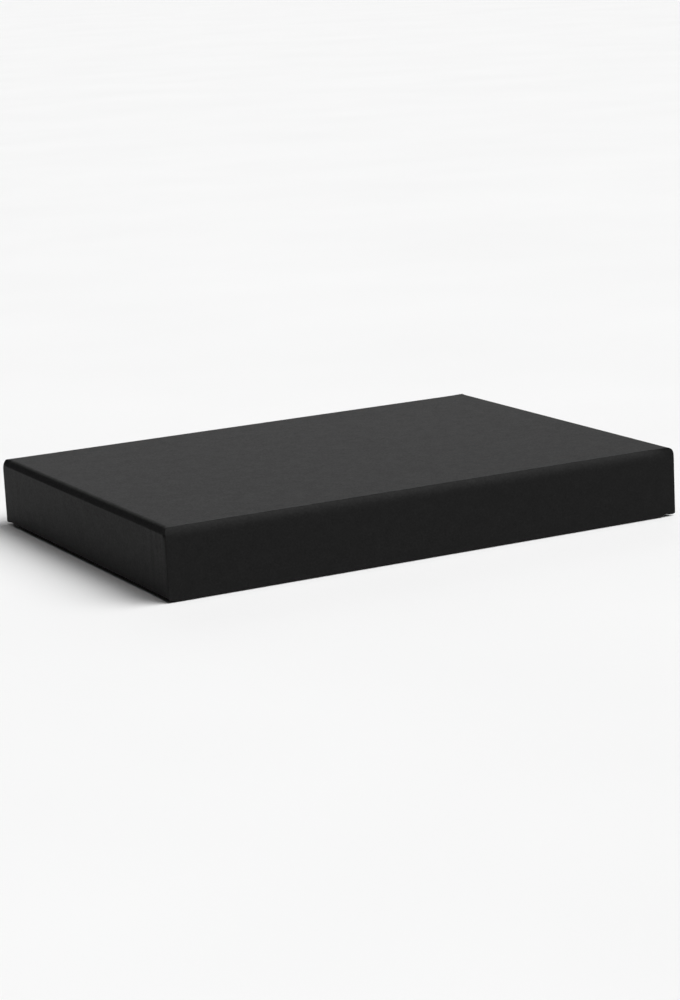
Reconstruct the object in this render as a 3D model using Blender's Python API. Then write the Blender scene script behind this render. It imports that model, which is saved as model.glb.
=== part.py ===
"""Rigid paper-wrapped game box: a full-depth lid that slides down over a base tray.

Both halves are set-up boxes of the same make. A greyboard blank is half cut along its
fold lines and folded up into a tray, stay tape holds its four corners, a wrap of covering
paper goes round the outside and is turned in over the rim, and a liner covers the inside.
A platform of folded card stands in the base.

Every tray is modelled open side up, with its closed face on local z = 0. The base stands
that way. The lid is the same tray turned over on its parent empty.
"""
import math
from collections import namedtuple

import bmesh
import bpy

# Driving dimensions, in metres
LENGTH = 0.305  # closed box, outside, along X
WIDTH = 0.229  # closed box, outside, along Y
HEIGHT = 0.0382  # closed box, from the ground to the top of the lid
BOARD = 0.002  # greyboard thickness
PAPER = 0.0003  # covering paper and liner thickness
TAPE = 0.0002  # stay tape thickness
GLUE = 0.0003  # gap left for each glue line
SLIP = 0.001  # clearance on each side between lid and base
RIM_LIFT = 0.0003  # the rim of the lid's long walls stays this far above the ground
REST_GAP = 0.0003  # between the lid's ceiling and the base's rim
FOLD_INSET = 0.0029  # how far the opened folds reach in over the closed face
SHORT_FOLD_DROP = 0.0035  # a short wall's fold is a flat strip that ends here, in a kink
LONG_FOLD_DROP = 0.0074  # a long wall's fold curves down into the wall, and ends here
LONG_FOLD_STEPS = 2  # levels of the curve below the end of the flat strip
CORNER_RADIUS = 0.0006  # upright corners of the covering paper
CORNER_STEPS = 3
TURN_IN = 0.016  # how far the covering paper is turned in below the rim
RIM_STEP = 0.0016  # the lid's short walls are this much shallower than its long ones
RAMP_START = 0.0085  # the long walls' rim steps down between these distances
RAMP_END = 0.0055  # from the box's short sides
LINER_GAP = 0.0005  # between the liner's edge and the turned-in paper's edge

# Stay tape, and the shallow bed that it is pressed into
STAY_LEG = 0.018
STAY_BED = 0.0005
STAY_GAP = 0.0003
BED_START = 0.0069  # how far below the closed face the beds and the corner slits start
CORNER_SLIT = 0.0003  # between the end of a short wall and the long wall it butts
OVERCUT = 0.001

# Folded card insert
CARD = 0.0008
CARD_FLOOR_GAP = 0.0003
CARD_SIDE_GAP = 0.0005
PLATFORM_RISE = 0.022
WELL_LENGTH = 0.126

WALL = 2 * PAPER + 2 * GLUE + BOARD
BOARD_INSET = PAPER + GLUE
LONG_FOLD_RADIUS = (FOLD_INSET**2 + LONG_FOLD_DROP**2) / (2 * FOLD_INSET)
LID_DEPTH = HEIGHT - RIM_LIFT
BASE_INSET = WALL + SLIP
BASE_DEPTH = HEIGHT - WALL - REST_GAP

Tray = namedtuple("Tray", "prefix half_length half_width depth rim_step parent")

MATERIALS = {
    "wrap_paper": ((0.016, 0.016, 0.016, 1.0), 0.55),
    "greyboard": ((0.30, 0.27, 0.23, 1.0), 0.90),
    "stay_tape": ((0.42, 0.28, 0.16, 1.0), 0.80),
    "liner_paper": ((0.78, 0.77, 0.74, 1.0), 0.85),
    "insert_card": ((0.70, 0.69, 0.66, 1.0), 0.80),
}


def clear_scene():
    for old in list(bpy.data.objects):
        bpy.data.objects.remove(old)


def make_material(name):
    colour, roughness = MATERIALS[name]
    material = bpy.data.materials.new(name)
    material.use_nodes = True
    shader = material.node_tree.nodes["Principled BSDF"]
    shader.inputs["Base Color"].default_value = colour
    shader.inputs["Roughness"].default_value = roughness
    shader.inputs["Metallic"].default_value = 0.0
    return material


def make_object(name, mesh_builder, material=None, parent=None):
    bmesh.ops.recalc_face_normals(mesh_builder, faces=mesh_builder.faces[:])
    mesh = bpy.data.meshes.new(name)
    mesh_builder.to_mesh(mesh)
    mesh_builder.free()
    made = bpy.data.objects.new(name, mesh)
    bpy.context.scene.collection.objects.link(made)
    made.parent = parent
    if material:
        mesh.materials.append(material)
    return made


def make_empty(name, location, turned_over=False):
    empty = bpy.data.objects.new(name, None)
    bpy.context.scene.collection.objects.link(empty)
    empty.location = location
    if turned_over:
        empty.rotation_euler = (math.pi, 0.0, 0.0)
    return empty


def short_fold(level, below):
    """Inset of a short wall's fold, for a surface this far below the paper's own."""
    slope = math.hypot(1 / FOLD_INSET, 1 / SHORT_FOLD_DROP)
    strip = FOLD_INSET * (1 + below * slope - level / SHORT_FOLD_DROP)
    return max(strip, below)


def long_fold(level, below):
    """The same for a long wall: an arc that ends upright."""
    rise = max(LONG_FOLD_DROP - level, 0.0)
    return LONG_FOLD_RADIUS - math.sqrt((LONG_FOLD_RADIUS - below) ** 2 - rise**2)


def fold_profile(below, radius):
    """Entries of a tray's profile for its folds, from the closed face to the walls."""
    slope = math.hypot(1 / FOLD_INSET, 1 / SHORT_FOLD_DROP)
    kink = SHORT_FOLD_DROP * (1 + below * slope - below / FOLD_INSET)
    levels = [below, (below + kink) / 2, kink]
    step = (LONG_FOLD_DROP - kink) / LONG_FOLD_STEPS
    levels += [kink + step * (index + 1) for index in range(LONG_FOLD_STEPS)]
    return [
        ((short_fold(level, below), long_fold(level, below)), level, radius, False)
        for level in levels
    ]


def ring(tray, insets, radius):
    """Points round a rectangle that is inset from the short walls and the long walls: its
    corners, as arcs where radius isn't 0, and the places where a stepped rim steps down."""
    x_half = tray.half_length - insets[0]
    y_half = tray.half_width - insets[1]
    steps = CORNER_STEPS if radius else 0
    ramp_points = []
    if tray.rim_step:
        ramp = [tray.half_length - RAMP_END, tray.half_length - RAMP_START]
        ramp_points = ramp + [-x for x in reversed(ramp)]
    points = []
    for corner, (x_sign, y_sign) in enumerate([(1, 1), (-1, 1), (-1, -1), (1, -1)]):
        for step in range(steps + 1):
            angle = math.pi / 2 * (corner + step / CORNER_STEPS)
            x = x_sign * (x_half - radius) + radius * math.cos(angle)
            y = y_sign * (y_half - radius) + radius * math.sin(angle)
            points.append((x, y))
        if x_sign == y_sign:
            points += [(x * x_sign, y_half * y_sign) for x in ramp_points]
    return points


def rim_drop(tray, x):
    """How much lower the rim is here than in the middle of a long wall."""
    to_side = tray.half_length - abs(x)
    along_ramp = (RAMP_START - to_side) / (RAMP_START - RAMP_END)
    return tray.rim_step * min(max(along_ramp, 0.0), 1.0)


def tray_shell(tray, name, profile, material):
    """A closed body made of nested rings, one for each (insets, height, radius, rim).

    A ring that belongs to the rim follows its steps.
    """
    body = bmesh.new()
    rings = []
    for insets, height, radius, rim in profile:
        points = ring(tray, insets, radius)
        heights = [height - rim_drop(tray, x) if rim else height for x, _ in points]
        rings.append([body.verts.new((x, y, z)) for (x, y), z in zip(points, heights)])
    for lower, upper in zip(rings, rings[1:]):
        for index, vertex in enumerate(lower):
            following = (index + 1) % len(lower)
            body.faces.new((vertex, lower[following], upper[following], upper[index]))
    body.faces.new(rings[0])
    body.faces.new(rings[-1])
    return make_object(f"{tray.prefix}_{name}", body, material, tray.parent)


def prism(body, outline, bottom, top):
    """Adds an upright prism with the given outline to a mesh under construction."""
    low = [body.verts.new((x, y, bottom)) for x, y in outline]
    high = [body.verts.new((x, y, top)) for x, y in outline]
    body.faces.new(low)
    body.faces.new(high)
    for index, vertex in enumerate(low):
        following = (index + 1) % len(low)
        body.faces.new((vertex, low[following], high[following], high[index]))


def corner_angle(tray, signs, outer, inner, leg):
    """Outline of an L round one corner, between two insets, with legs of this length."""
    x_sign, y_sign = signs
    insets = [
        (outer, outer),
        (leg, outer),
        (leg, inner),
        (inner, inner),
        (inner, leg),
        (outer, leg),
    ]
    return [
        (x_sign * (tray.half_length - x), y_sign * (tray.half_width - y)) for x, y in insets
    ]


def cut(target, cutter):
    cutter.hide_render = True
    cutter.display_type = "WIRE"
    modifier = target.modifiers.new(cutter.name, "BOOLEAN")
    modifier.operation = "DIFFERENCE"
    modifier.solver = "EXACT"
    modifier.object = cutter


def corner_signs():
    return [(x_sign, y_sign) for x_sign in (-1, 1) for y_sign in (-1, 1)]


def make_board(tray, material):
    """The greyboard tray: short walls butt between the long ones, with a fine slit."""
    inner = BOARD_INSET + BOARD
    outside = (BOARD_INSET, BOARD_INSET)
    inside = (inner, inner)
    profile = fold_profile(BOARD_INSET, 0) + [
        (outside, tray.depth - BOARD_INSET, 0, True),
        (inside, tray.depth - BOARD_INSET, 0, True),
        (inside, inner, 0, False),
    ]
    board = tray_shell(tray, "board", profile, material)
    beds = bmesh.new()
    slits = bmesh.new()
    bed_leg = BOARD_INSET + STAY_LEG + STAY_GAP
    bed_depth = BOARD_INSET + STAY_BED
    past_rim = tray.depth + OVERCUT
    for signs in corner_signs():
        outline = corner_angle(tray, signs, -OVERCUT, bed_depth, bed_leg)
        prism(beds, outline, BED_START, past_rim)
        x_outer = signs[0] * (tray.half_length + OVERCUT)
        x_inner = signs[0] * (tray.half_length - inner - OVERCUT)
        y_outer = signs[1] * (tray.half_width - inner)
        y_inner = signs[1] * (tray.half_width - inner - CORNER_SLIT)
        slit = [(x_outer, y_outer), (x_inner, y_outer), (x_inner, y_inner), (x_outer, y_inner)]
        prism(slits, slit, BED_START, past_rim)
    cut(board, make_object(tray.prefix + "_bed_cutter", beds, parent=tray.parent))
    cut(board, make_object(tray.prefix + "_slit_cutter", slits, parent=tray.parent))


def make_stays(tray, material, turned_over):
    """Four angles of stay tape, one over each upright corner of the board."""
    room = BOARD_INSET + STAY_BED - PAPER
    outer = PAPER + (room - TAPE) / 2
    leg = BOARD_INSET + STAY_LEG
    top = tray.depth - tray.rim_step - BOARD_INSET - STAY_GAP
    for signs in corner_signs():
        front_or_back = "front" if (signs[1] < 0) != turned_over else "back"
        side = "left" if signs[0] < 0 else "right"
        name = f"{tray.prefix}_stay_{front_or_back}_{side}"
        body = bmesh.new()
        prism(body, corner_angle(tray, signs, outer, outer + TAPE, leg), BED_START + STAY_GAP, top)
        make_object(name, body, material, tray.parent)


def make_wrap(tray, material):
    """The covering paper: closed face, opened folds, walls and the turned-in border."""
    outer_radius = CORNER_RADIUS
    inner_radius = CORNER_RADIUS - PAPER
    depth = tray.depth
    edge = depth - TURN_IN
    border = [
        ((0.0, 0.0), depth, outer_radius, True),
        ((WALL, WALL), depth, inner_radius, True),
        ((WALL, WALL), edge, inner_radius, False),
        ((WALL - PAPER, WALL - PAPER), edge, outer_radius, False),
        ((WALL - PAPER, WALL - PAPER), depth - PAPER, outer_radius, True),
        ((PAPER, PAPER), depth - PAPER, inner_radius, True),
    ]
    outside = fold_profile(0.0, outer_radius)
    inside = fold_profile(PAPER, inner_radius)
    tray_shell(tray, "wrap", outside + border + inside[::-1], material)


def make_liner(tray, material):
    """The liner: a shallow pan of paper whose sides end at the turned-in border."""
    outer = WALL - PAPER
    outside = (outer, outer)
    inside = (WALL, WALL)
    edge = tray.depth - TURN_IN - LINER_GAP
    profile = [
        (outside, outer, 0, False),
        (outside, edge, 0, False),
        (inside, edge, 0, False),
        (inside, WALL, 0, False),
    ]
    tray_shell(tray, "liner", profile, material)


def make_tray(tray, materials, turned_over=False):
    make_board(tray, materials["greyboard"])
    make_stays(tray, materials["stay_tape"], turned_over)
    make_wrap(tray, materials["wrap_paper"])
    make_liner(tray, materials["liner_paper"])


def make_insert(tray, material):
    """One sheet of card folded into two raised platforms with a well between them."""
    floor = WALL + CARD_FLOOR_GAP
    top = floor + PLATFORM_RISE
    outer = tray.half_length - WALL - CARD_SIDE_GAP
    half_width = tray.half_width - WALL - CARD_SIDE_GAP
    well = WELL_LENGTH / 2
    upper_side = [(well, floor + CARD), (well, top), (outer, top), (outer, floor)]
    underside = [
        (outer - CARD, floor),
        (outer - CARD, top - CARD),
        (well + CARD, top - CARD),
        (well + CARD, floor),
    ]
    right = upper_side + underside
    left = [(-x, z) for x, z in reversed(right)]
    outline = right + left
    body = bmesh.new()
    near = [body.verts.new((x, -half_width, z)) for x, z in outline]
    far = [body.verts.new((x, half_width, z)) for x, z in outline]
    body.faces.new(near)
    body.faces.new(far)
    for index, vertex in enumerate(near):
        following = (index + 1) % len(near)
        body.faces.new((vertex, near[following], far[following], far[index]))
    make_object("insert", body, material, tray.parent)


def main():
    clear_scene()
    materials = {name: make_material(name) for name in MATERIALS}
    base_frame = make_empty("base_frame", (0.0, 0.0, 0.0))
    lid_frame = make_empty("lid_frame", (0.0, 0.0, HEIGHT), turned_over=True)
    half_length = LENGTH / 2
    half_width = WIDTH / 2
    base = Tray(
        "base", half_length - BASE_INSET, half_width - BASE_INSET, BASE_DEPTH, 0.0, base_frame
    )
    lid = Tray("lid", half_length, half_width, LID_DEPTH, RIM_STEP, lid_frame)
    make_tray(base, materials)
    make_insert(base, materials["insert_card"])
    make_tray(lid, materials, turned_over=True)


main()
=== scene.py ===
import math
from collections import namedtuple

import bmesh
import bpy
import numpy as np
from mathutils import Matrix, Vector


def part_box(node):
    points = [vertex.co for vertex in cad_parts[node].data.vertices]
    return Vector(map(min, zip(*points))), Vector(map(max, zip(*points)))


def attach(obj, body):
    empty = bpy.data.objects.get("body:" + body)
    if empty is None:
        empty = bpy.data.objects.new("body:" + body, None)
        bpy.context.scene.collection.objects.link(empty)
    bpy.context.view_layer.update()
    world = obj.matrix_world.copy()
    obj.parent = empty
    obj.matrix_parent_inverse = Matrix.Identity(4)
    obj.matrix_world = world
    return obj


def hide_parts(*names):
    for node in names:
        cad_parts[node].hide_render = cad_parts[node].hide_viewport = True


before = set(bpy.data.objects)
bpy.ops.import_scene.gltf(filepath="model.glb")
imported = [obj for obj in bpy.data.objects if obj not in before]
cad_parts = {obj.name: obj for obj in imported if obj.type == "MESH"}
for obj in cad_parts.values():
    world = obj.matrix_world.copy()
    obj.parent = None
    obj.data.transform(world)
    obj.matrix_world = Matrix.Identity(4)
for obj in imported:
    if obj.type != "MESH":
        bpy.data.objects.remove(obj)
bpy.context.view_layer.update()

# Lengths are in metres. Each tray is described in its own frame: x and y as in the world,
# and depth measured from its closed face towards its open rim.
PAPER = 0.0003  # covering paper and liner
WALL = 0.0032  # a whole wall: paper, glue, board, glue and paper
HIDDEN = WALL - PAPER  # how far in the covered side of the innermost paper lies
TURN_IN = 0.016  # the covering paper's turned-in border

FOLD_INSET = 0.0029  # the opened folds reach in this far over the closed face
SHORT_FOLD_DROP = 0.0035  # a short wall's fold ends in a kink, this far down
LEFT_FOLD_PULL = (0.0009, 0.00156)  # control point of the left wall's curve: inset, depth
RIGHT_FOLD_PULL = (0.0004, 0.0006)  # the right wall's fold is fuller
LONG_FOLD_DROP = 0.0074  # a long wall's fold is an arc that ends upright
LONG_FOLD_RADIUS = (FOLD_INSET**2 + LONG_FOLD_DROP**2) / (2 * FOLD_INSET)
LONG_CREASE_ANGLE = math.acos(LONG_FOLD_DROP / LONG_FOLD_RADIUS)
LONG_CREASE_RADIUS = 0.0004
SHORT_CREASE_RADIUS = 0.004  # a short wall's fold starts with a soft roll
# Depths at which the covering paper has points, close together where it bends
CREASE_DEPTHS = [0.0, 0.000006, 0.000025, 0.00006, 0.0001, 0.00014, 0.0002]
FOLD_DEPTHS = [*np.linspace(0.0004, 0.0032, 9), 0.00335, 0.00345, SHORT_FOLD_DROP]
KINK_DEPTHS = [0.00355, 0.0037, 0.0039, 0.0042]
CURVE_DEPTHS = [*np.linspace(0.0047, 0.0079, 7)]
WALL_START = 0.0095
WALL_ENDS = (0.0025, 0.0013)  # above the rim, where the wall's last two rings are
BORDER_START = 0.0015  # above the rim, where the turned-in border's rings start
BACK_DEPTHS = [LONG_FOLD_DROP, 0.0055, SHORT_FOLD_DROP, 0.002, PAPER]

CORNER_RADIUS = 0.0003  # upright corners of the covering paper
EASE_REACH = 0.0018  # the short walls turn in over this distance before some corners
SHORT_TIGHTENING = 0.006  # the folds open less over this distance from the corners
LONG_TIGHTENING = 0.014
RIM_RADIUS = 0.0007
RIM_FOLLOW_START = 0.02  # below this depth the wall's points follow the rim more and more
RIM_BLEND = 0.0007  # a long wall's rim passes into a short wall's over this distance
LID_RIM_STEP = 0.0016  # the lid's short walls are this much shallower
# Rim of a long wall near its corners: distance from the corner, and how much higher it is
SMOOTH_RIM = ((0.0, 0.001), (0.0015, 0.0006), (0.003, 0.00025), (0.0048, 0.0))
FOLDED_RIM = ((0.0, 0.0009), (0.0013, 0.00055), (0.0033, 0.0013), (0.0064, 0.0011), (0.009, 0.0))
LEVEL_RIM = ((0.0, 0.0002), (0.004, 0.0))

# The glued tab under the covering paper of a short wall: distance from the corner, recess
TAB_RELIEF = (
    (0.0, 0.00005),
    (0.0006, 0.00006),
    (0.0014, 0.00002),
    (0.0035, 0.0),
    (0.005, 0.00003),
    (0.007, 0.0),
    (0.0095, 0.00004),
    (0.0112, 0.0),
    (0.0155, 0.00009),
    (0.0188, 0.00003),
    (0.0245, 0.00014),
    (0.034, 0.00012),
    (0.08, 0.0),
)
# Where the folds meet, a pinhole stays open at the end of each short wall
PINHOLE_FROM_CORNER = 0.0008
PINHOLE_LEVEL = 0.0037
PINHOLE_HALF_WIDTH = 0.0007
PINHOLE_HALF_HEIGHT = 0.0008
PINHOLE_DEPTH = 0.00052
PINHOLE_BACK = 0.00027  # the paper's inner side gives way this far

# Glued paper isn't quite flat: turn per metre along x and along y, phase and share of each wave
PAPER_WAVES = ((71, 23, 0.6, 1.0), (-38, 64, 2.1, 1.0), (112, -87, 4.0, 0.6))
WRAP_WAVE = 0.00004
LINER_WAVE = 0.00005
WAVE_FADE = 0.02  # the waves die out over this distance from the edges

LINER_GAP = 0.0005  # between the liner's upper edge and the turned-in border
LINER_BEND = 0.0007  # radius of the bend around its floor
LINER_EDGE_STEP = 0.0008  # from its upper edge to the next ring

CARD = 0.0008  # thickness of the insert's card
CARD_FOLD_RADIUS = 0.0009
WELL_HALF_WIDTH = 0.063
PLATFORM_SAG = 0.0005
INSERT_ROWS = 27

# Distances from a corner at which a side has points
CORNER_STATIONS = (
    0.0, 0.0002, 0.0004, 0.00055, 0.0007, 0.00085, 0.001, 0.0012, 0.0014, 0.0019, 0.0025,
    0.0032, 0.004, 0.0048, 0.0056, 0.0064, 0.0072, 0.008, 0.009, 0.0102, 0.0115, 0.0128, 0.014, 0.0155,
    0.0165, 0.0175, 0.0185, 0.0195, 0.0205, 0.0215, 0.0225, 0.0235, 0.025, 0.027, 0.029,
    0.031, 0.034, 0.037,
)
COARSE_STEP = 0.008  # at most this far apart elsewhere
ARC_STEPS = 4

Tray = namedtuple("Tray", "half_x half_y depth closed_z direction rim_step corners")
# One corner: the long wall's rim there, how far the short wall's paper turns in, how
# strongly the tab shows, and how much less the long and the short fold are open
Corner = namedtuple("Corner", "rim ease tab long_tightness short_tightness")
# One ring around a tray: insets of the long walls, the left and the right wall, its depth
# and corner radius, how far it follows the rim, its share of the tabs' relief, and how deep
# the pinholes are there
Ring = namedtuple("Ring", "long left right depth radius rim relief hole")


# ---------------------------------------------------------------- shapes of the trays

def tray_from_node(name, closed_face_up, rim_step, corners):
    """A tray with the size and place of its covering paper in the frame."""
    low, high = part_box(name)
    closed_z = high[2] if closed_face_up else low[2]
    direction = -1 if closed_face_up else 1
    return Tray(
        (high[0] - low[0]) / 2,
        (high[1] - low[1]) / 2,
        high[2] - low[2],
        closed_z,
        direction,
        rim_step,
        corners,
    )


def even_ring(inset, depth, radius, rim=0.0, relief=0.0):
    """A ring that is equally far in on all four sides."""
    return Ring(inset, inset, inset, depth, radius, rim, relief, 0.0)


def side_stations(half):
    """Positions from -1 to 1 along a side, close together near its two corners."""
    last = CORNER_STATIONS[-1]
    count = math.ceil((half - last) / COARSE_STEP)
    rest = np.linspace(last, half, count + 1)[1:]
    towards_middle = 1 - np.concatenate([CORNER_STATIONS, rest]) / half
    return np.concatenate([-towards_middle, towards_middle[-2::-1]])


def perimeter(us, vs):
    """The stations of all four sides, once around from the front left corner."""
    front = [(u, -1.0) for u in us[:-1]]
    right = [(1.0, v) for v in vs[:-1]]
    back = [(u, 1.0) for u in us[:0:-1]]
    left = [(-1.0, v) for v in vs[:0:-1]]
    return front + right + back + left


def round_corner(x, y, half_x, half_y, radius):
    """Moves a point of a square corner to the matching place in a rounded one."""
    across = (abs(x) - half_x + radius) / radius
    along = (abs(y) - half_y + radius) / radius
    if across <= 0 or along <= 0:
        return x, y
    reach = max(across, along)
    if along > across:
        angle = math.pi / 2 - across / along * math.pi / 4
    else:
        angle = along / across * math.pi / 4
    rounded_x = half_x - radius + radius * reach * math.cos(angle)
    rounded_y = half_y - radius + radius * reach * math.sin(angle)
    return math.copysign(rounded_x, x), math.copysign(rounded_y, y)


def curve_value(points, distance):
    """A smooth curve through a few (distance, value) points, level outside them."""
    if distance <= points[0][0]:
        return points[0][1]
    for (start, low), (end, high) in zip(points, points[1:]):
        if distance <= end:
            part = (distance - start) / (end - start)
            return low + (high - low) * part * part * (3 - 2 * part)
    return points[-1][1]


def rim_rise(tray, u, v):
    """How much closer to the closed face the rim is here."""
    to_short_wall = (1 - abs(u)) * tray.half_x
    long_rise = curve_value(tray.corners[(u > 0, v > 0)].rim, to_short_wall)
    if abs(v) == 1.0:
        return long_rise
    to_long_wall = (1 - abs(v)) * tray.half_y
    blend = min(to_long_wall / RIM_BLEND, 1.0)
    return long_rise + (tray.rim_step - long_rise) * blend


def nearness(distance, reach):
    """1 at no distance, falling evenly to 0 at the reach."""
    return max(1 - distance / reach, 0.0)


def tightening(tightness, inset, to_corner, reach):
    """How much less a fold is open at this distance from a corner."""
    return tightness * inset * nearness(to_corner, reach) ** 2


def wall_recess(corner, ring, to_short_wall, to_long_wall):
    """How far a short wall's paper lies back: over its glued tab, and in the pinhole."""
    relief = corner.tab * curve_value(TAB_RELIEF, to_long_wall)
    relief += corner.ease * nearness(to_long_wall, EASE_REACH) ** 2
    relief *= ring.relief * nearness(to_short_wall, EASE_REACH)
    sideways = (to_long_wall - PINHOLE_FROM_CORNER) / PINHOLE_HALF_WIDTH
    hole = ring.hole * math.exp(-2 * sideways**2)
    return relief + hole * nearness(to_short_wall, PINHOLE_HALF_WIDTH)


def place(tray, u, v, ring):
    """World position of one point of a ring, with the paper's small reliefs."""
    corner = tray.corners[(u > 0, v > 0)]
    short = ring.right if u > 0 else ring.left
    half_x = tray.half_x - short
    half_y = tray.half_y - ring.long
    x, y = round_corner(u * half_x, v * half_y, half_x, half_y, ring.radius)
    to_short_wall = (1 - abs(u)) * tray.half_x
    to_long_wall = (1 - abs(v)) * tray.half_y
    depth = ring.depth
    if depth < LONG_FOLD_DROP:
        shift_x = tightening(corner.short_tightness, short, to_long_wall, SHORT_TIGHTENING)
        shift_y = tightening(corner.long_tightness, ring.long, to_short_wall, LONG_TIGHTENING)
        x += math.copysign(shift_x * nearness(to_short_wall, SHORT_TIGHTENING), u)
        y += math.copysign(shift_y * nearness(to_long_wall, LONG_TIGHTENING), v)
    if ring.rim:
        depth -= ring.rim * rim_rise(tray, u, v)
    if ring.relief or ring.hole:
        x -= math.copysign(wall_recess(corner, ring, to_short_wall, to_long_wall), u)
    return x, y, tray.closed_z + tray.direction * depth


def nested_shell(name, tray, rings, grid_first, wave):
    """A closed body of nested rings. One end is filled with a wavy grid, the other by a face."""
    us = side_stations(tray.half_x)
    vs = side_stations(tray.half_y)
    around = perimeter(us, vs)
    count = len(around)
    vertices = []
    for ring in rings:
        vertices += [place(tray, u, v, ring) for u, v in around]
    faces = []
    for lower in range(len(rings) - 1):
        for index in range(count):
            following = (index + 1) % count
            start = lower * count
            end = start + count
            faces.append((start + index, start + following, end + following, end + index))
    grid_ring = 0 if grid_first else len(rings) - 1
    other_ring = len(rings) - 1 if grid_first else 0
    faces.append(tuple(other_ring * count + index for index in range(count)))
    lookup = {key: grid_ring * count + index for index, key in enumerate(around)}
    plain_ring = rings[grid_ring]._replace(relief=0.0, hole=0.0)
    for u in us:
        for v in vs:
            if abs(u) == 1.0 or abs(v) == 1.0:
                continue
            x, y, z = place(tray, u, v, plain_ring)
            to_edge = min((1 - abs(u)) * tray.half_x, (1 - abs(v)) * tray.half_y)
            height = wave * surface_wave(x, y) * min(to_edge / WAVE_FADE, 1.0)
            lookup[(u, v)] = len(vertices)
            vertices.append((x, y, z + tray.direction * height))
    for u, next_u in zip(us, us[1:]):
        for v, next_v in zip(vs, vs[1:]):
            corners = ((u, v), (next_u, v), (next_u, next_v), (u, next_v))
            faces.append(tuple(lookup[corner] for corner in corners))
    return make_piece(name, vertices, faces)


def surface_wave(x, y):
    """A gentle unevenness between 0 and 1, some centimetres long."""
    height = 0.0
    total = 0.0
    for along_x, along_y, phase, share in PAPER_WAVES:
        height += share * math.sin(along_x * x + along_y * y + phase)
        total += share
    return 0.5 + 0.5 * height / total


def make_piece(name, vertices, faces, smooth=True):
    mesh = bpy.data.meshes.new(name)
    mesh.from_pydata(vertices, [], faces)
    body = bmesh.new()
    body.from_mesh(mesh)
    bmesh.ops.recalc_face_normals(body, faces=body.faces[:])
    body.to_mesh(mesh)
    body.free()
    if smooth:
        mesh.shade_smooth()
    piece = bpy.data.objects.new(name, mesh)
    bpy.context.scene.collection.objects.link(piece)
    return piece


# ---------------------------------------------------------------- covering paper

def short_fold(depth, pull):
    """Inset of a short wall's fold at this depth. Pull is its curve's control point."""
    pull_inset, pull_depth = pull
    bend = SHORT_FOLD_DROP - 2 * pull_depth
    lean = 2 * pull_depth
    part = (math.sqrt(lean * lean + 4 * bend * depth) - lean) / (2 * bend)
    if part >= 1:
        return 0.0
    return (1 - part) ** 2 * FOLD_INSET + 2 * part * (1 - part) * pull_inset


def left_fold(depth):
    return short_fold(depth, LEFT_FOLD_PULL)


def right_fold(depth):
    return short_fold(depth, RIGHT_FOLD_PULL)


def long_fold(depth):
    """Inset of a long wall's fold at this depth."""
    rise = max(LONG_FOLD_DROP - depth, 0.0)
    return LONG_FOLD_RADIUS - math.sqrt(LONG_FOLD_RADIUS**2 - rise**2)


def crease_angle(pull):
    """How steeply a short wall's fold leaves the closed face."""
    return math.atan2(pull[1], FOLD_INSET - pull[0])


def creased(fold, depth, angle, radius):
    """A fold with the crease at its upper edge rounded."""
    if depth < radius * (1 - math.cos(angle)):
        reach = math.sqrt(radius**2 - (radius - depth) ** 2)
        return FOLD_INSET + radius * math.tan(angle / 2) - reach
    return fold(depth)


def outer_rings(depth):
    """The paper's outer side, from the closed face down to the rim."""
    last_but_one, last = WALL_ENDS
    wall_depths = [*np.linspace(WALL_START, depth - last_but_one, 9), depth - last]
    rings = []
    for level in CREASE_DEPTHS + FOLD_DEPTHS + KINK_DEPTHS + CURVE_DEPTHS + wall_depths:
        long = creased(long_fold, level, LONG_CREASE_ANGLE, LONG_CREASE_RADIUS)
        left = creased(left_fold, level, crease_angle(LEFT_FOLD_PULL), SHORT_CREASE_RADIUS)
        right = creased(right_fold, level, crease_angle(RIGHT_FOLD_PULL), SHORT_CREASE_RADIUS)
        follow = max((level - RIM_FOLLOW_START) / (depth - RIM_FOLLOW_START), 0.0)
        relief = min(level / SHORT_FOLD_DROP, 1.0) ** 4
        along = (level - PINHOLE_LEVEL) / PINHOLE_HALF_HEIGHT
        hole = PINHOLE_DEPTH * math.exp(-2 * along**2)
        rings.append(Ring(long, left, right, level, CORNER_RADIUS, follow, relief, hole))
    return rings


def rim_rings(depth):
    """Over the rim in two quarter rounds, and down the inside as the turned-in border."""
    rings = []
    for step in range(ARC_STEPS + 1):
        angle = math.pi / 2 * step / ARC_STEPS
        inset = RIM_RADIUS * (1 - math.cos(angle))
        level = depth - RIM_RADIUS * (1 - math.sin(angle))
        rings.append(even_ring(inset, level, CORNER_RADIUS, 1.0, 1.0 - step / ARC_STEPS))
    for step in range(ARC_STEPS + 1):
        angle = math.pi / 2 * (1 - step / ARC_STEPS)
        inset = WALL - RIM_RADIUS * (1 - math.cos(angle))
        level = depth - RIM_RADIUS * (1 - math.sin(angle))
        rings.append(even_ring(inset, level, PAPER, 1.0))
    for level in np.linspace(depth - BORDER_START, depth - TURN_IN, 6):
        follow = (level - depth + TURN_IN) / TURN_IN
        rings.append(even_ring(WALL, level, PAPER, follow))
    return rings


def back_rings(depth):
    """The paper's glued side, from the border's edge back to the closed face."""
    rings = [
        even_ring(HIDDEN, depth - TURN_IN, PAPER),
        even_ring(HIDDEN, depth - PAPER, PAPER, 1.0),
        even_ring(PAPER, depth - PAPER, PAPER, 1.0),
    ]
    for level in BACK_DEPTHS:
        long = long_fold(level) + PAPER
        left = left_fold(level) + PAPER
        right = right_fold(level) + PAPER
        hole = PINHOLE_BACK if level == SHORT_FOLD_DROP else 0.0
        rings.append(Ring(long, left, right, level, PAPER, 0.0, 0.0, hole))
    return rings


def make_wrap(tray, name):
    rings = outer_rings(tray.depth) + rim_rings(tray.depth) + back_rings(tray.depth)
    return nested_shell(name, tray, rings, grid_first=True, wave=WRAP_WAVE)


# ---------------------------------------------------------------- liner

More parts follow.
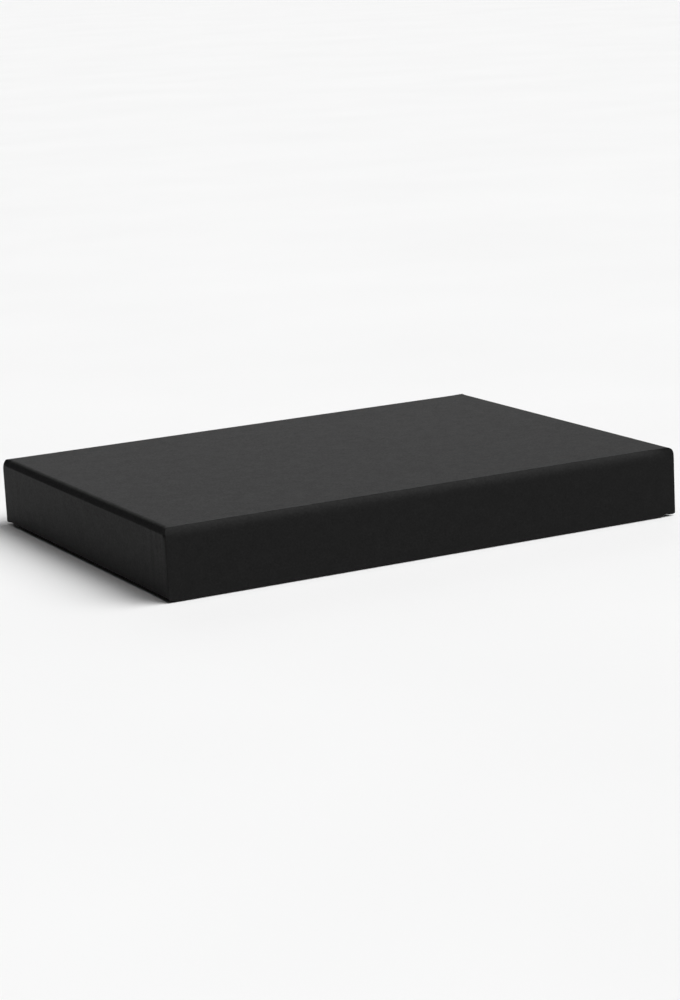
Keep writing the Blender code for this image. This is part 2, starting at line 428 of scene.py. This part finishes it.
def make_liner(tray, name):
    """A pan of white paper whose upper edge meets the turned-in border."""
    edge = tray.depth - TURN_IN - LINER_GAP
    rings = [
        even_ring(HIDDEN, HIDDEN, PAPER),
        even_ring(HIDDEN, edge, PAPER),
        even_ring(WALL, edge, PAPER),
    ]
    for level in np.linspace(edge - LINER_EDGE_STEP, WALL + LINER_BEND, 6):
        rings.append(even_ring(WALL, level, PAPER))
    for step in range(1, ARC_STEPS + 1):
        angle = math.pi / 2 * step / ARC_STEPS
        inset = WALL + LINER_BEND * (1 - math.cos(angle))
        level = WALL + LINER_BEND * (1 - math.sin(angle))
        rings.append(even_ring(inset, level, PAPER))
    return nested_shell(name, tray, rings, grid_first=False, wave=LINER_WAVE)


# ---------------------------------------------------------------- insert

def turned(vector, angle):
    """A flat vector, turned by this angle."""
    cos, sin = math.cos(angle), math.sin(angle)
    return Vector((vector.x * cos - vector.y * sin, vector.x * sin + vector.y * cos))


def fold_outline(corners, radius, steps=5):
    """Points along a folded sheet's middle line, with each fold as an arc, and headings."""
    corners = [Vector(corner) for corner in corners]
    points = [(corners[0], (corners[1] - corners[0]).normalized())]
    for before, corner, after in zip(corners, corners[1:], corners[2:]):
        arriving = (corner - before).normalized()
        leaving = (after - corner).normalized()
        turn = arriving.angle_signed(leaving)
        start = corner - arriving * (radius * math.tan(abs(turn) / 2))
        side = 1 if turn < 0 else -1
        centre = start + Vector((-arriving.y, arriving.x)) * radius * side
        for step in range(steps + 1):
            angle = -turn * step / steps
            points.append((centre + turned(start - centre, angle), turned(arriving, angle)))
    points.append((corners[-1], (corners[-1] - corners[-2]).normalized()))
    return points


def subdivided(line, longest):
    """The same line, with points added to the stretches that are longer than this."""
    refined = []
    for (point, heading), (following, _) in zip(line, line[1:]):
        refined.append((point, heading))
        extra = int((following - point).length // longest)
        for step in range(1, extra + 1):
            refined.append((point.lerp(following, step / (extra + 1)), heading))
    refined.append(line[-1])
    return refined


def insert_line(low, high):
    """Middle line of the card, across the box: platform, well, platform."""
    well = WELL_HALF_WIDTH + CARD / 2
    outer = high[0] - CARD / 2
    floor = low[2] + CARD / 2
    top = high[2] - CARD / 2
    half_line = [(well, floor), (well, top), (outer, top), (outer, low[2])]
    mirrored = [(-x, z) for x, z in reversed(half_line)]
    return subdivided(fold_outline(mirrored + half_line, CARD_FOLD_RADIUS), COARSE_STEP)


def sheet_faces(count, rows):
    """Faces of a sheet with two sides. Each row of points has one side's, then the other's."""
    layer = 2 * count
    faces = []
    for row in range(rows - 1):
        start = row * layer
        for upper in range(start, start + count - 1):
            lower = upper + count
            faces.append((upper, upper + 1, upper + 1 + layer, upper + layer))
            faces.append((lower, lower + layer, lower + 1 + layer, lower + 1))
        for upper in (start, start + count - 1):
            faces.append((upper, upper + count, upper + count + layer, upper + layer))
    for start in (0, (rows - 1) * layer):
        for upper in range(start, start + count - 1):
            faces.append((upper, upper + 1, upper + 1 + count, upper + count))
    return faces


def make_insert(name):
    """One sheet of card, folded into two platforms that sag a little, with a well between."""
    low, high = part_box("insert")
    line = insert_line(low, high)
    inner = WELL_HALF_WIDTH + CARD / 2
    platform = high[0] - CARD / 2 - inner
    vertices = []
    for y in np.linspace(low[1], high[1], INSERT_ROWS):
        across = 1 - (y / high[1]) ** 2
        for side in (CARD / 2, -CARD / 2):
            for point, heading in line:
                x = point.x - heading.y * side
                z = point.y + heading.x * side
                raised = (z - low[2]) / (high[2] - low[2])
                along = (abs(x) - inner) / platform
                sag = max(4 * along * (1 - along), 0.0) * across * raised**4
                vertices.append((x, y, z - PLATFORM_SAG * sag))
    piece = make_piece(name, vertices, sheet_faces(len(line), INSERT_ROWS))
    piece.data.set_sharp_from_angle(angle=math.radians(50))
    return piece


# ---------------------------------------------------------------- materials

class Recipe:
    """Builds one node material on a Principled shader, in object coordinates."""

    def __init__(self, name):
        self.material = bpy.data.materials.new(name)
        self.material.use_nodes = True
        self.tree = self.material.node_tree
        self.shader = self.tree.nodes["Principled BSDF"]
        self.coordinates = self.tree.nodes.new("ShaderNodeTexCoord").outputs["Object"]

    def noise(self, size, detail=2.0, stretch=(1.0, 1.0, 1.0)):
        """Noise whose features are about this size in metres."""
        mapping = self.tree.nodes.new("ShaderNodeMapping")
        mapping.inputs["Scale"].default_value = stretch
        self.tree.links.new(self.coordinates, mapping.inputs["Vector"])
        node = self.tree.nodes.new("ShaderNodeTexNoise")
        node.inputs["Scale"].default_value = 1.0 / size
        node.inputs["Detail"].default_value = detail
        node.inputs["Roughness"].default_value = 0.6
        self.tree.links.new(mapping.outputs["Vector"], node.inputs["Vector"])
        return node.outputs["Fac"]

    def ramp(self, value, stops):
        """A colour for each value, between (value, colour) stops."""
        node = self.tree.nodes.new("ShaderNodeValToRGB")
        elements = node.color_ramp.elements
        for element, (position, colour) in zip(elements, (stops[0], stops[-1])):
            element.position = position
            element.color = (*colour, 1.0)
        for position, colour in stops[1:-1]:
            elements.new(position).color = (*colour, 1.0)
        self.tree.links.new(value, node.inputs["Fac"])
        return node.outputs["Color"]

    def spread(self, value, low, high, from_low=0.3, from_high=0.7):
        """The value, stretched from one range to another and held inside it."""
        node = self.tree.nodes.new("ShaderNodeMapRange")
        node.inputs["From Min"].default_value = from_low
        node.inputs["From Max"].default_value = from_high
        node.inputs["To Min"].default_value = low
        node.inputs["To Max"].default_value = high
        self.tree.links.new(value, node.inputs["Value"])
        return node.outputs["Result"]

    def sum(self, first, second, weight):
        """The first value plus the weighted second."""
        node = self.tree.nodes.new("ShaderNodeMath")
        node.operation = "MULTIPLY_ADD"
        self.tree.links.new(second, node.inputs[0])
        node.inputs[1].default_value = weight
        self.tree.links.new(first, node.inputs[2])
        return node.outputs["Value"]

    def cut_edges(self, face, edge):
        """The face colour, with the edge colour on the ends that face along y."""
        coordinates = self.tree.nodes.new("ShaderNodeTexCoord")
        parts = self.tree.nodes.new("ShaderNodeSeparateXYZ")
        self.tree.links.new(coordinates.outputs["Normal"], parts.inputs["Vector"])
        sideways = self.tree.nodes.new("ShaderNodeMath")
        sideways.operation = "ABSOLUTE"
        self.tree.links.new(parts.outputs["Y"], sideways.inputs[0])
        share = self.spread(sideways.outputs["Value"], 0.0, 1.0, 0.8, 0.9)
        mix = self.tree.nodes.new("ShaderNodeMix")
        mix.data_type = "RGBA"
        # A colour mix's sockets share their names with the others, so they go by number
        for value, socket in ((share, 0), (face, 6), (edge, 7)):
            self.tree.links.new(value, mix.inputs[socket])
        return mix.outputs[2]

    def painted_pinhole_shade(self, hole):
        """Painted shade: 0 inside the pinholes at the tray's corners and 1 elsewhere, a factor that
        darkens the colour where the deep hole lies in shade.
        """
        mirrored = self.vector_step("ABSOLUTE", self.coordinates)
        shifted = self.vector_step("SUBTRACT", mirrored, hole)
        size = (PINHOLE_HALF_WIDTH, PINHOLE_HALF_WIDTH, PINHOLE_HALF_HEIGHT)
        scaled = self.vector_step("DIVIDE", shifted, size)
        distance = self.vector_step("LENGTH", scaled, output="Value")
        return self.spread(distance, 0.0, 1.0, 0.9, 1.5)

    def vector_step(self, operation, vector, other=None, output="Vector"):
        node = self.tree.nodes.new("ShaderNodeVectorMath")
        node.operation = operation
        self.tree.links.new(vector, node.inputs[0])
        if other is not None:
            node.inputs[1].default_value = other
        return node.outputs[output]

    def scale_colour(self, colour, factor):
        """A colour darkened by a factor."""
        node = self.tree.nodes.new("ShaderNodeVectorMath")
        node.operation = "SCALE"
        self.tree.links.new(colour, node.inputs[0])
        self.tree.links.new(factor, node.inputs["Scale"])
        return node.outputs["Vector"]

    def connect(self, value, socket):
        self.tree.links.new(value, self.shader.inputs[socket])

    def bump(self, height, distance, strength=1.0):
        node = self.tree.nodes.new("ShaderNodeBump")
        node.inputs["Strength"].default_value = strength
        node.inputs["Distance"].default_value = distance
        self.tree.links.new(height, node.inputs["Height"])
        self.tree.links.new(node.outputs["Normal"], self.shader.inputs["Normal"])


def grey(value):
    return (value, value, value)


def black_paper(name, tray):
    """Soft-touch black paper: very fine grain, a faint mottle and hardly any shine, with painted shade
    inside the pinholes.
    """
    recipe = Recipe(name)
    grain = recipe.noise(0.0011, 3.0)
    mottle = recipe.noise(0.006, 2.0)
    tone = recipe.sum(grain, mottle, 0.35)
    colour = recipe.ramp(tone, [(0.45, grey(0.0067)), (0.7, grey(0.0097)), (0.95, grey(0.0137))])
    hole_z = tray.closed_z + tray.direction * PINHOLE_LEVEL
    painted_pinhole_shade = recipe.painted_pinhole_shade((tray.half_x, tray.half_y - PINHOLE_FROM_CORNER, hole_z))
    # The colour is painted black inside each pinhole, as painted shade for the deep hole.
    recipe.connect(recipe.scale_colour(colour, painted_pinhole_shade), "Base Color")
    recipe.shader.inputs["Specular IOR Level"].default_value = 0.09
    recipe.connect(recipe.spread(tone, 0.62, 0.54, 0.45, 0.95), "Roughness")
    fine = recipe.noise(0.00045, 2.0)
    recipe.bump(recipe.sum(fine, grain, 0.8), 0.00002, 0.6)
    return recipe.material


def white_paper():
    """Uncoated off-white liner paper with faint fibres."""
    recipe = Recipe("white_paper")
    fibre = recipe.noise(0.0009, 4.0, (1.0, 2.4, 1.0))
    cloud = recipe.noise(0.012, 3.0)
    tone = recipe.sum(fibre, cloud, 0.6)
    stops = [(0.5, (0.70, 0.685, 0.65)), (0.8, (0.77, 0.76, 0.73)), (1.0, (0.80, 0.79, 0.76))]
    recipe.connect(recipe.ramp(tone, stops), "Base Color")
    recipe.connect(recipe.spread(fibre, 0.8, 0.92), "Roughness")
    recipe.bump(fibre, 0.00003, 0.5)
    return recipe.material


def faced_card():
    """White-faced folding card with a grey core at its cut edges."""
    recipe = Recipe("faced_card")
    fibre = recipe.noise(0.0016, 3.0, (2.0, 1.0, 1.0))
    cloud = recipe.noise(0.02, 2.0)
    tone = recipe.sum(fibre, cloud, 0.5)
    stops = [(0.5, (0.64, 0.63, 0.60)), (0.75, (0.70, 0.69, 0.66)), (1.0, (0.73, 0.725, 0.70))]
    core = recipe.noise(0.0004, 3.0)
    core_stops = [(0.35, (0.26, 0.24, 0.21)), (0.65, (0.38, 0.36, 0.32))]
    colour = recipe.cut_edges(recipe.ramp(tone, stops), recipe.ramp(core, core_stops))
    recipe.connect(colour, "Base Color")
    recipe.connect(recipe.spread(cloud, 0.55, 0.7), "Roughness")
    recipe.bump(fibre, 0.00002, 0.5)
    return recipe.material


def greyboard():
    """Raw greyboard: recycled fibre with dark and light flecks."""
    recipe = Recipe("raw_greyboard")
    fibre = recipe.noise(0.0007, 5.0)
    fleck = recipe.noise(0.003, 4.0)
    tone = recipe.sum(fibre, fleck, 0.5)
    stops = [(0.5, (0.22, 0.195, 0.16)), (0.75, (0.30, 0.27, 0.23)), (1.0, (0.37, 0.335, 0.29))]
    recipe.connect(recipe.ramp(tone, stops), "Base Color")
    recipe.connect(recipe.spread(fibre, 0.85, 0.95), "Roughness")
    recipe.bump(fibre, 0.00008, 0.6)
    return recipe.material


def kraft_tape():
    """Brown kraft stay tape."""
    recipe = Recipe("kraft_tape")
    fibre = recipe.noise(0.0006, 4.0, (1.0, 1.0, 3.0))
    cloud = recipe.noise(0.005, 2.0)
    tone = recipe.sum(fibre, cloud, 0.5)
    stops = [(0.5, (0.36, 0.23, 0.12)), (0.75, (0.42, 0.28, 0.16)), (1.0, (0.48, 0.33, 0.20))]
    recipe.connect(recipe.ramp(tone, stops), "Base Color")
    recipe.connect(recipe.spread(fibre, 0.75, 0.85), "Roughness")
    recipe.bump(fibre, 0.00003, 0.5)
    return recipe.material


def pale_floor():
    """Plain studio paper, very slightly cloudy."""
    recipe = Recipe("pale_floor")
    cloud = recipe.noise(0.3, 2.0)
    recipe.connect(recipe.ramp(cloud, [(0.3, grey(0.89)), (0.7, grey(0.91))]), "Base Color")
    recipe.shader.inputs["Roughness"].default_value = 0.9
    recipe.shader.inputs["Specular IOR Level"].default_value = 0.2
    return recipe.material


def put_material(piece, material):
    piece.data.materials.clear()
    piece.data.materials.append(material)


# ---------------------------------------------------------------- studio

def make_floor():
    half = 30.0
    corners = [(-half, -half, 0), (half, -half, 0), (half, half, 0), (-half, half, 0)]
    floor = make_piece("studio_floor", corners, [(0, 1, 2, 3)], smooth=False)
    floor.location.z = -0.0001  # clear of the faces that stand on it
    put_material(floor, pale_floor())


def aim_camera():
    """A long lens, tilted a little, that looks down at a corner of the box."""
    azimuth = math.radians(-26.948)
    elevation = math.radians(12.255)
    roll = math.radians(-2.950)
    distance = 1.48392
    back = Vector((
        math.sin(azimuth) * math.cos(elevation),
        -math.cos(azimuth) * math.cos(elevation),
        math.sin(elevation),
    ))
    across = Vector((0, 0, 1)).cross(back).normalized()
    up = back.cross(across)
    camera = bpy.data.objects.new("camera", bpy.data.cameras.new("camera"))
    bpy.context.scene.collection.objects.link(camera)
    looked_at = across * 0.0038645 + up * 0.0106893 + Vector((0, 0, 0.0003))
    level = across * math.cos(roll) + up * math.sin(roll)
    tilted = up * math.cos(roll) - across * math.sin(roll)
    turn = Matrix((level, tilted, back)).transposed().to_4x4()
    camera.matrix_world = Matrix.Translation(looked_at + back * distance) @ turn
    camera.data.lens = 94.96
    camera.data.sensor_width = 36.0
    camera.data.clip_end = 200.0
    bpy.context.scene.camera = camera


def soft_sun(name, direction, strength, spread):
    """A sun that shines from this direction."""
    light = bpy.data.lights.new(name, "SUN")
    light.energy = strength
    light.angle = math.radians(spread)
    sun = bpy.data.objects.new(name, light)
    sun.rotation_euler = Vector(direction).to_track_quat("Z", "Y").to_euler()
    bpy.context.scene.collection.objects.link(sun)


def light_studio():
    """Three wide, soft suns, and surroundings that are pale to look at."""
    world = bpy.data.worlds.new("studio")
    world.use_nodes = True
    background = world.node_tree.nodes["Background"]
    background.inputs["Color"].default_value = (1.0, 1.0, 1.0, 1.0)
    # Seen directly the surroundings are bright, but they light the box only weakly
    seen = world.node_tree.nodes.new("ShaderNodeLightPath").outputs["Is Camera Ray"]
    strength = world.node_tree.nodes.new("ShaderNodeMapRange")
    strength.inputs["To Min"].default_value = 0.02
    strength.inputs["To Max"].default_value = 0.94
    world.node_tree.links.new(seen, strength.inputs["Value"])
    world.node_tree.links.new(strength.outputs["Result"], background.inputs["Strength"])
    bpy.context.scene.world = world
    bpy.context.scene.view_settings.view_transform = "Standard"
    soft_sun("key", (0.5, -0.38, 0.82), 2.95, 50)
    soft_sun("overhead", (0.1, -0.2, 1.0), 0.8, 60)
    soft_sun("back", (0.4, 0.9, 0.3), 0.43, 40)


# ---------------------------------------------------------------- the object

# The keys say whether a corner is on the right and whether it is at the back
LID_CORNERS = {
    (False, False): Corner(SMOOTH_RIM, 0.0001, 1.0, 0.1, 0.3),
    (True, False): Corner(FOLDED_RIM, 0.0, 0.5, 0.8, 0.1),
    (False, True): Corner(FOLDED_RIM, 0.0, 0.4, 0.1, 0.6),
    (True, True): Corner(SMOOTH_RIM, 0.0002, 0.7, 0.3, 0.3),
}
BASE_CORNERS = {
    (False, False): Corner(LEVEL_RIM, 0.0, 0.7, 0.5, 0.2),
    (True, False): Corner(LEVEL_RIM, 0.0003, 0.9, 0.2, 0.3),
    (False, True): Corner(LEVEL_RIM, 0.0002, 0.8, 0.3, 0.4),
    (True, True): Corner(LEVEL_RIM, 0.0, 0.6, 0.4, 0.2),
}


def dress_cad_nodes():
    """Materials for the nodes that keep their CAD meshes."""
    board = greyboard()
    tape = kraft_tape()
    for name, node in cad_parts.items():
        if name.endswith("_board"):
            put_material(node, board)
        elif "_stay_" in name:
            put_material(node, tape)


def finish_piece(piece, body, node, material):
    put_material(piece, material)
    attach(piece, body)
    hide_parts(node)


def make_box():
    liner = white_paper()
    trays = {
        "lid": tray_from_node("lid_wrap", True, LID_RIM_STEP, LID_CORNERS),
        "base": tray_from_node("base_wrap", False, 0.0, BASE_CORNERS),
    }
    for body, tray in trays.items():
        paper = black_paper(body + "_black_paper", tray)
        wrap = make_wrap(tray, body + "_covering_paper")
        finish_piece(wrap, body, body + "_wrap", paper)
        pan = make_liner(tray, body + "_inside_liner")
        finish_piece(pan, body, body + "_liner", liner)
    insert = make_insert("folded_insert")
    finish_piece(insert, "base", "insert", faced_card())
    dress_cad_nodes()


make_box()
make_floor()
light_studio()
aim_camera()
